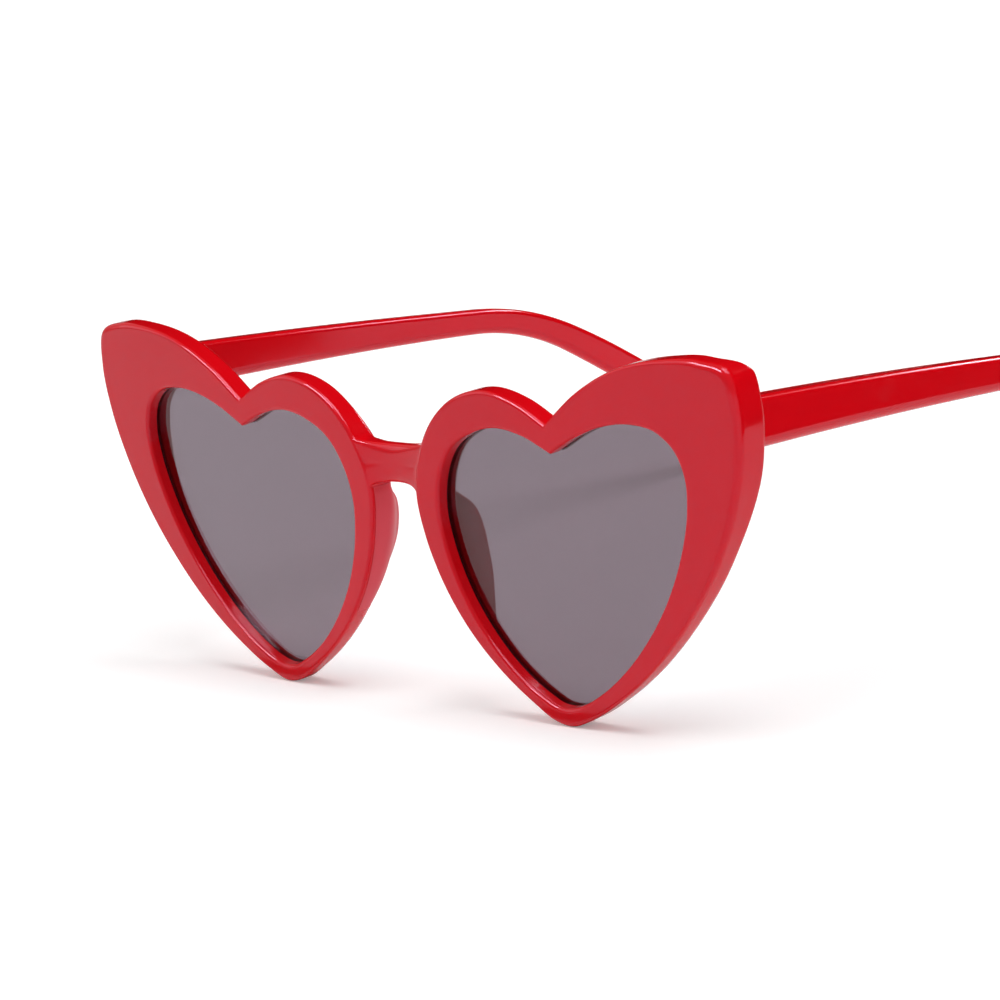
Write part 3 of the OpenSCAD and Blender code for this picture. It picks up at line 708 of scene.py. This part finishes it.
def grey_tint(f, name):
    """Tinted acrylic: clear through its thickness, with faint smears on the polish."""
    material, shader = new_material(name, {"Base Color": (*f.tint, 1), "Transmission Weight": 1.0,
                                           "IOR": PLASTIC_IOR})
    wear = place_group(material, "Polish wear", Scale=0.8, Amount=f.dust * 0.5)
    roughen(material, shader, wear["Mask"], low=0.015, high=0.08)
    return material


def shade_painted_ground_edge(f, name):
    """The ground edge of a lens: matt, with soft stains, and near black as painted shade of the groove it
    sits in.
    """
    return worn_surface(f, name, {}, (f.shade_painted_lens_edge, dimmed(f.shade_painted_lens_edge, 0.6)), drift_scale=300.0,
                        wear_scale=2.0, rough=(0.5, 0.8))


def satin_nickel(f, name):
    """Brushed nickel silver of the hinge leaves: fine upright brush lines and soft stains."""
    material, shader = new_material(name, {"Metallic": 1.0})
    tree = material.node_tree
    stretched = add_node(tree, "ShaderNodeMapping", {"Vector": object_place(tree), "Scale": (1, 1, 0.04)})
    brush = noise(tree, stretched.outputs[0], scale=9000.0, detail=3.0)
    feed(shader, {"Base Color": drift(material, f.leaf, dimmed(f.leaf, 0.82), scale=380.0)})
    roughen(material, shader, brush, low=0.22, high=0.42)
    add_bump(material, shader, brush, distance=0.000006)
    return material


def bright_steel(f, name):
    """Bright turned steel of the screws, with fine wear."""
    return worn_surface(f, name, {"Metallic": 1.0}, (f.screw, dimmed(f.screw, 0.88)), drift_scale=600.0,
                        wear_scale=6.0, rough=(0.14, 0.4), bump=0.000004)


def surface(name):
    """The material of that name, built the first time it is asked for."""
    makers = {"Red acetate": red_acetate, "Satin acetate": satin_acetate_painted_sheen, "Grey tint": grey_tint,
              "Ground edge": shade_painted_ground_edge, "Satin nickel": satin_nickel, "Bright steel": bright_steel}
    return bpy.data.materials.get(name) or makers[name](bpy.context.scene.finishes, name)


def finish_piece(piece, material_name, body, node):
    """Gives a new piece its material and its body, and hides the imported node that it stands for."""
    piece.data.materials.clear()
    piece.data.materials.append(surface(material_name))
    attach(piece, body)
    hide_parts(node)


def repaint(node, material_name):
    """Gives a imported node, whose shape stays, a finer material."""
    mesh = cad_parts[node].data
    mesh.materials.clear()
    mesh.materials.append(surface(material_name))


# Operators

class SUNGLASSES_OT_front(bpy.types.Operator):
    """Builds the front: two heart rims with lens grooves, the bridge between them and two leaf pockets"""

    bl_idname = "sunglasses.front"
    bl_label = "Front"

    def execute(self, context):
        s, a = context.scene.front_sizes, context.scene.temple_sizes
        points, faces = front_half(s)
        both = np.concatenate([placed(points), placed(points, -1)])
        front = new_piece("front", both, np.concatenate([faces, faces[:, ::-1] + len(points)]))
        for side in SIDES.values():
            for box in leaf_boxes(s, a, side)[:2]:
                cut_pocket(front, box, a.leaf_clear)
        finish_piece(front, "Red acetate", "front", "front_frame")
        return {"FINISHED"}


def lens_points(s):
    """A lens: points, faces and the number of faces before those of its edge.

    On each side rings run from a middle point to the opening's outline, with one more in the groove. Each
    side is the wrap's cylinder, set behind the rim's face.
    """
    heart, opening = heart_lines(s)
    across = heart - opening
    edge = opening + across / np.linalg.norm(across, axis=1)[:, None] * (s.groove_in - s.lens_clear)
    middle = np.array([edge[:, 0].mean(), s.heart_h * LENS_MIDDLE])
    shares = 1 - (1 - np.arange(1, LENS_RINGS) / (LENS_RINGS - 1)) ** LENS_CROWD
    rings = np.concatenate([middle + (opening - middle) * shares[:, None, None], edge[None]])
    u, v = np.concatenate([middle[None], rings.reshape(-1, 2)]).T
    face = face_y(s, u) + s.lens_set
    points = np.concatenate([np.stack([u, face + back, v], -1) for back in (0, s.lens_t)])
    count, half = len(edge), len(u)
    faces = []
    for start in (0, half):
        quads = (start + 1 + ring_faces(LENS_RINGS, count)).reshape(-1, 4)
        faces += [[start, *quad[:2]] for quad in quads[:count]] + list(quads)
    edges = np.arange(half - count, half) + [[0], [half]]
    sides = edges.reshape(-1)[ring_faces(2, count).reshape(-1, 4)]
    return points, faces + list(sides), len(faces)


class SUNGLASSES_OT_lenses(bpy.types.Operator):
    """Builds the two tinted lenses that sit in the rims' grooves"""

    bl_idname = "sunglasses.lenses"
    bl_label = "Lenses"

    def execute(self, context):
        points, faces, flat_count = lens_points(context.scene.front_sizes)
        for name, side in SIDES.items():
            lens = new_piece(f"{name}_tinted_lens", placed(points, side), faces)
            if len(lens.data.polygons) != len(faces):
                raise RuntimeError("a lens has lost faces")
            finish_piece(lens, "Grey tint", "front", f"{name}_lens")
            # The edge faces take the near-black ground edge, which is painted shade of the groove.
            lens.data.materials.append(surface("Ground edge"))
            on_edge = np.arange(len(faces)) >= flat_count
            lens.data.polygons.foreach_set("material_index", on_edge.astype(np.int32))
        return {"FINISHED"}


def crossing(line, z):
    """Where the nose side of an outline passes the given heights."""
    side = line[NOSE_SIDE_POINT * OUTLINE_STEPS:]
    top = np.argmax(side[:, 1])
    return np.interp(z, side[:top, 1], side[:top, 0])


def pad_points(s, stations=60, round_steps=12, side_steps=14, rim_steps=4):
    """A nose pad: sections stacked down its height.

    The nose side of a section is a cubic: it starts on the pad's rounded back edge and runs on to the rim's
    side wall, and a thin skin continues it there to the rim's front edge. The other side of the skin and the
    foot follow the rim at the glue gap.
    """
    down = (1 - np.cos(np.pi * np.arange(stations + 1) / stations)) / 2
    z = s.heart_h * s.bridge_place - s.pad_drop - s.pad_h * down
    heart, opening = heart_lines(s)
    reach = np.maximum(s.pad_reach * smooth_table(PAD_REACHES, down), PAD_LEAST)
    share_out = reach / s.pad_reach
    wall, back = crossing(heart, z), back_roll_at(s, z)
    b = crossing(opening, z) - s.opening_roll / 2 - s.pad_inset
    full = depth_at(s, wall, z)
    tip = b + s.pad_lean * share_out
    r = np.minimum(np.minimum(s.pad_edge_t, reach), b - wall - back - s.pad_inset) / 2
    fade = ease(down / SKIN_FADE[0]) * ease((1 - down) / SKIN_FADE[1])
    skin = s.bond_gap + s.pad_skin * (SKIN_LEFT + (1 - SKIN_LEFT) * fade)
    front = s.edge_roll + PAD_KEEP

    def line(x, y):
        return np.stack(np.broadcast_arrays(x, y), -1)

    def arc(x, y, radius, turn, way=1):
        x, y, radius = x[:, None], y[:, None], radius[:, None]
        return line(x + way * radius * np.cos(turn), y + radius * np.sin(turn))

    turn = np.radians(np.linspace(*PAD_TURN, round_steps + 1))
    edge = arc(tip - r, full + s.bond_gap + reach - r, r, turn)
    last = edge[:, -1]
    first = line(wall - skin - s.pad_bulge * share_out, full - back)
    onward = np.array([-np.sin(turn[-1]), np.cos(turn[-1])])
    leave = np.array([-1, 0]) * (1 - share_out[:, None]) + onward * share_out[:, None]
    pull = PAD_LEAVE * np.linalg.norm(last - first, axis=1) / np.linalg.norm(leave, axis=1)
    leave *= pull[:, None]
    near = first + line(0, PAD_MEET[0] * back + PAD_MEET[1] * reach)
    t = (np.arange(1, side_steps + 1) / side_steps)[None, :, None]
    nose = (last[:, None] * (1 - t) ** 3 + (last + leave)[:, None] * 3 * t * (1 - t) ** 2
            + near[:, None] * 3 * t * t * (1 - t) + first[:, None] * t ** 3)
    rim = arc(wall + back, full - back, back + s.bond_gap, quarter_turn(rim_steps), -1)
    foot = line(b, full + s.bond_gap)
    flat = np.concatenate([line(wall - s.bond_gap, front)[:, None], rim, foot[:, None], edge, nose,
                           line(wall - skin, front)[:, None]], 1)
    x, y = flat[..., 0], flat[..., 1]
    return tube(np.stack([x, y + face_y(s, x), np.broadcast_to(z[:, None], x.shape)], -1))


class SUNGLASSES_OT_pads(bpy.types.Operator):
    """Builds the two nose pads that are bonded to the backs of the rims"""

    bl_idname = "sunglasses.pads"
    bl_label = "Nose pads"

    def execute(self, context):
        points, faces = pad_points(context.scene.front_sizes)
        for name, side in SIDES.items():
            pad = new_piece(f"{name}_pad", placed(points, side), faces)
            # The pads' material carries a pinker red than the front's, which is painted sheen.
            finish_piece(pad, "Satin acetate", "front", f"{name}_nose_pad")
        return {"FINISHED"}


def arc_place(start, slope, radius, run):
    """Place and slope after a run along an arc that bends down: (y, z, slope)."""
    turned = slope + run / radius
    return (start[0] + radius * (np.sin(turned) - np.sin(slope)),
            start[1] - radius * (np.cos(slope) - np.cos(turned)), turned)


def temple_section(h, t, low, roll, keep):
    """Section of a temple at every station: four rolled corners round a face of height h and thickness t.

    Each row is (across from the outer face, up from the centre line).
    """
    def corner(x, up, r, start):
        return [(x + r * np.cos(start + turn), up + r * np.sin(start + turn)) for turn in quarter_turn()]

    rows = corner(-roll, h / 2 - roll, roll, 0)
    rows += [(-roll - keep, h / 2), (-t + roll + keep, h / 2)]
    rows += corner(-t + roll, h / 2 - roll, roll, np.pi / 2)
    rows += [(-t, h / 2 - roll - keep), (-t, -h / 2 + low + keep)]
    rows += corner(-t + low, -h / 2 + low, low, np.pi)
    rows += corner(-low, -h / 2 + low, low, 3 * np.pi / 2)
    rows += [(0 * t, -h / 2 + low + keep), (0 * t, h / 2 - roll - keep)]
    return np.stack([np.stack(row, -1) for row in rows], 1)


def temple_points(s, a, stations=150, tip_steps=14):
    """A temple: its section carried along three arcs, which are shank, ear bend and curve behind the ear."""
    butt_x = s.front_w / 2 - a.inset
    start = (face_y(s, butt_x) + s.wing_depth + a.butt_gap, s.heart_h - a.hinge_drop)
    shank_r = a.shank_l / (a.bend_slope - a.shank_slope)
    bend_l = a.bend_r * (a.ear_slope - a.bend_slope)
    shank_end = arc_place(start, a.shank_slope, shank_r, a.shank_l)
    bend_end = arc_place(shank_end, a.bend_slope, a.bend_r, bend_l)
    tip_half = a.temple_h * TEMPLE_HEIGHTS[-1][1] / 2
    tip_slope = np.arccos(np.cos(a.ear_slope) - (bend_end[1] - tip_half) / a.ear_r)
    whole = a.shank_l + bend_l + a.ear_r * (tip_slope - a.ear_slope)
    length = whole + tip_half
    turn = np.linspace(0, np.radians(TIP_TURN), tip_steps + 1)[1:]
    tip_run = tip_half * np.sin(turn) * np.sin(np.radians(PACKED_TIP_TURN)) / np.sin(turn[-1])
    along = whole * np.arange(1, stations + 1) / stations
    run = np.concatenate([[0, a.end_roll * BUTT_ROW], along, whole + tip_run])
    shrink = np.concatenate([np.ones(stations + 2), np.cos(turn)])
    arcs = [arc_place(start, a.shank_slope, shank_r, run),
            arc_place(shank_end, a.bend_slope, a.bend_r, run - a.shank_l),
            arc_place(bend_end, a.ear_slope, a.ear_r, run - a.shank_l - bend_l)]
    parts = [run < a.shank_l, run < a.shank_l + bend_l]
    y, z, slope = (np.select(parts, [arc[k] for arc in arcs[:2]], arcs[2][k]) for k in range(3))
    h = a.temple_h * smooth_table(TEMPLE_HEIGHTS, run / length) * shrink
    full_t = a.temple_t + (a.ear_t - a.temple_t) * ease(run / a.shank_l)
    t = full_t * (a.tip_thin + (1 - a.tip_thin) * shrink)
    x = butt_x - a.ear_in * ease((run - a.shank_l) / (length - a.shank_l)) - (full_t - t) / 2
    pull = np.where(run == 0, a.end_roll, 0.0)
    thin = np.minimum(h, t)
    most = thin / 2 * ROLL_SHARE
    roll = np.minimum(np.minimum(a.roll, most) * np.where(shrink < 1, np.maximum(shrink, TIP_ROLL), 1), most)
    low = np.minimum(np.minimum(a.low_roll * shrink, h / 2 - roll), t * a.low_share)
    section = temple_section(h - 2 * pull, t - 2 * pull, low, roll, np.minimum(EDGE_KEEP, thin * KEEP_SHARE))
    side_x, up = x[:, None] + section[..., 0] - pull[:, None], section[..., 1]
    butt = np.clip(1 - run / BUTT_RUN, 0, 1)[:, None]
    wrap = face_y(s, side_x) - face_y(s, x[:, None])
    slope = slope[:, None]
    return tube(np.stack([side_x, y[:, None] + wrap * butt + up * np.sin(slope) * (1 - butt),
                          z[:, None] + up * np.cos(slope)], -1))


class SUNGLASSES_OT_temples(bpy.types.Operator):
    """Builds the two folding temples with their leaf pockets"""

    bl_idname = "sunglasses.temples"
    bl_label = "Temples"

    def execute(self, context):
        s, a = context.scene.front_sizes, context.scene.temple_sizes
        points, faces = temple_points(s, a)
        for name, side in SIDES.items():
            temple = new_piece(f"{name}_arm_plastic", placed(points, side), faces)
            for box in leaf_boxes(s, a, side)[2:]:
                cut_pocket(temple, box, a.leaf_clear)
            finish_piece(temple, "Red acetate", f"{name}_arm", f"{name}_temple")
        return {"FINISHED"}


class SUNGLASSES_OT_hinges(bpy.types.Operator):
    """Finishes the hinge leaves in satin metal and the screws in bright steel"""

    bl_idname = "sunglasses.hinges"
    bl_label = "Hinges"

    def execute(self, context):
        for name in SIDES:
            repaint(f"{name}_front_hinge_leaf", "Satin nickel")
            repaint(f"{name}_temple_hinge_leaf", "Satin nickel")
            repaint(f"{name}_hinge_screw", "Bright steel")
        return {"FINISHED"}


# Stage: where the two wide lights come from
KEY_FROM = (0.3, 0, 1)
SIDE_FROM = (-0.75, -0.45, 0.55)
# Strip lamps: place, point that they face, length and width
STRIPS = {
    "rim": ((0.2, 0.8, 0.57), (0, 0, 0.04), 0.5, 0.08),
    "glint": ((-0.2, -0.59, 0.87), (0, -0.07, 0.04), 0.6, 0.18),
}
# Flat dark cards: one corner, the two sides that leave it, and the tone
FLAT_CARDS = {
    "side_card": ((0.175, -0.055, 0.0), (0, 0.415, 0), (0, 0, 0.5), 0.01),
    "inner_card": ((0.04, 0.01, 0.018), (0, 0.06, 0), (0, 0, 0.182), 0.01),
    # The low card is painted shadow: a grey sheet just over the floor before the hearts' points, which
    # polished surfaces mirror as the floor's shade there.
    "low_card": ((-0.066, -0.0806, 0.0004), (0.112, 0, 0), (0, 0.0041, 0), 0.2),
}
# Dark card behind, part of a sphere: radius, turn from straight back, height over the floor, tone
BACK_CARD_R = 1.4
BACK_CARD_TURN = (-62, 62)
BACK_CARD_RISE = (0.5, 62)
BACK_CARD_TONE = 0.01
# The camera's place, its axes to the right, up and back, and its lens, which fit the object's outlines in the
# picture. Its sensor and its nearest and farthest distances are usual ones.
CAMERA_PLACE = (0.447914, -0.457836, 0.161316)
CAMERA_AXES = ((0.68571, 0.716928, -0.125763), (-0.072559, 0.239248, 0.968244),
               (0.724249, -0.654809, 0.216075))
CAMERA_LENS, CAMERA_SENSOR = 139.76, 36.0
CAMERA_CLIP = (0.01, 50.0)


def stage_material(name, rgb, glow=0.0):
    """A matt stage surface that also glows a little to the camera and through glass."""
    material, shader = new_material(name, {"Base Color": (*rgb, 1), "Roughness": 1.0,
                                           "Specular IOR Level": 0.0})
    if glow:
        tree = material.node_tree
        path = add_node(tree, "ShaderNodeLightPath").outputs
        seen = maths(tree, "MAXIMUM", path["Is Camera Ray"], path["Is Transmission Ray"])
        feed(shader, {"Emission Color": (1, 1, 1, 1),
                      "Emission Strength": maths(tree, "MULTIPLY", seen, glow)})
    return material


def hang_lamp(name, kind, place, target, **settings):
    """A lamp at a place that faces a point."""
    lamp = bpy.data.lights.new(name, kind)
    for key, value in settings.items():
        setattr(lamp, key, value)
    holder = add_object(name, lamp)
    holder.location = place
    holder.rotation_euler = (Vector(target) - Vector(place)).to_track_quat("-Z", "Y").to_euler()
    return holder


def strip_lamp(name, place, target, length, width, power):
    """A long lamp that lies level and is mirrored by polished surfaces alone."""
    holder = hang_lamp(name, "AREA", place, target, shape="RECTANGLE", size=length, size_y=width,
                       energy=power)
    holder.visible_diffuse = False


def dark_card(name, points, faces, tone):
    """A dark card that only polished surfaces mirror: no camera sees it and it throws no shadow."""
    card = new_piece(name, points, faces)
    card.data.materials.append(stage_material(name, (tone, tone, tone)))
    card.visible_camera = card.visible_diffuse = card.visible_transmission = card.visible_shadow = False


def rectangle(corner, side, other):
    """Corners and face of a rectangle with two sides that leave one corner."""
    steps = np.array([[0, 0], [1, 0], [1, 1], [0, 1]], float)
    return corner + steps @ np.array([side, other], float), [[0, 1, 2, 3]]


def back_card_grid(columns=48, rows=16):
    """Points and quads of the card behind: a sphere's by turn and height, not closed to a ring."""
    turn = np.radians(np.linspace(*BACK_CARD_TURN, columns))[None, :]
    height = np.radians(np.linspace(*BACK_CARD_RISE, rows))[:, None]
    out = np.cos(height)
    place = np.broadcast_arrays(np.sin(turn) * out, np.cos(turn) * out, np.sin(height))
    points = BACK_CARD_R * np.stack(place, -1)
    return points.reshape(-1, 3), ring_faces(rows, columns)[:, :-1].reshape(-1, 4)


def place_camera(scene):
    """The camera that sees the object as the picture does."""
    lens = bpy.data.cameras.new("camera")
    lens.lens = CAMERA_LENS
    lens.sensor_width = CAMERA_SENSOR
    lens.clip_start, lens.clip_end = CAMERA_CLIP
    camera = add_object("camera", lens)
    camera.matrix_world = Matrix.Translation(CAMERA_PLACE) @ Matrix(CAMERA_AXES).transposed().to_4x4()
    scene.camera = camera


class SUNGLASSES_OT_stage(bpy.types.Operator):
    """Sets up the floor, the soft lamps, the dark cards and the camera"""

    bl_idname = "sunglasses.stage"
    bl_label = "Stage"

    def execute(self, context):
        scene, g = context.scene, context.scene.stage_sizes
        r = g.floor_r
        floor = new_piece("floor", *rectangle((-r, -r, 0), (2 * r, 0, 0), (0, 2 * r, 0)))
        floor.data.materials.append(stage_material("White floor", g.floor_colour, g.glow))
        dark_card("back_card", *back_card_grid(), BACK_CARD_TONE)
        for name, (*sides, tone) in FLAT_CARDS.items():
            dark_card(name, *rectangle(*sides), tone)
        scene.world = bpy.data.worlds.new("Studio")
        scene.world.use_nodes = True
        feed(scene.world.node_tree.nodes["Background"], {"Color": (1, 1, 1, 1), "Strength": g.sky})
        hang_lamp("key_light", "SUN", KEY_FROM, (0, 0, 0), angle=g.spread, energy=g.key)
        hang_lamp("side_light", "SUN", SIDE_FROM, (0, 0, 0), angle=g.spread, energy=g.side)
        for name, row in STRIPS.items():
            strip_lamp(f"{name}_strip", *row, getattr(g, name))
        place_camera(scene)
        scene.view_settings.view_transform = "Standard"
        return {"FINISHED"}


class SUNGLASSES_PT_sidebar(bpy.types.Panel):
    """Sidebar with the sizes and one button for each piece"""

    bl_idname = "SUNGLASSES_PT_sidebar"
    bl_label = "Heart sunglasses"
    bl_space_type = "VIEW_3D"
    bl_region_type = "UI"
    bl_category = "Sunglasses"

    def draw(self, context):
        for group, title, settings in PROPERTY_GROUPS:
            box = self.layout.box()
            box.label(text=title)
            for name in group.__annotations__:
                box.prop(getattr(context.scene, settings), name)
        for operator in OPERATORS:
            self.layout.operator(operator.bl_idname)


PROPERTY_GROUPS = ((FrontSizes, "Front", "front_sizes"), (TempleSizes, "Temples", "temple_sizes"),
                   (Finishes, "Finishes", "finishes"), (StageSizes, "Stage", "stage_sizes"))
OPERATORS = (SUNGLASSES_OT_front, SUNGLASSES_OT_lenses, SUNGLASSES_OT_pads, SUNGLASSES_OT_temples,
             SUNGLASSES_OT_hinges, SUNGLASSES_OT_stage)


def register():
    """Registers the property groups, the operators and the panel."""
    for group, _, name in PROPERTY_GROUPS:
        bpy.utils.register_class(group)
        setattr(bpy.types.Scene, name, PointerProperty(type=group))
    for kind in (*OPERATORS, SUNGLASSES_PT_sidebar):
        bpy.utils.register_class(kind)


def unregister():
    """Takes back everything that register set up."""
    for kind in reversed((*OPERATORS, SUNGLASSES_PT_sidebar)):
        bpy.utils.unregister_class(kind)
    for group, _, name in reversed(PROPERTY_GROUPS):
        delattr(bpy.types.Scene, name)
        bpy.utils.unregister_class(group)


def main():
    """Builds every piece and the stage."""
    register()
    bpy.ops.sunglasses.front()
    bpy.ops.sunglasses.lenses()
    bpy.ops.sunglasses.pads()
    bpy.ops.sunglasses.temples()
    bpy.ops.sunglasses.hinges()
    bpy.ops.sunglasses.stage()


if __name__ == "__main__":
    main()
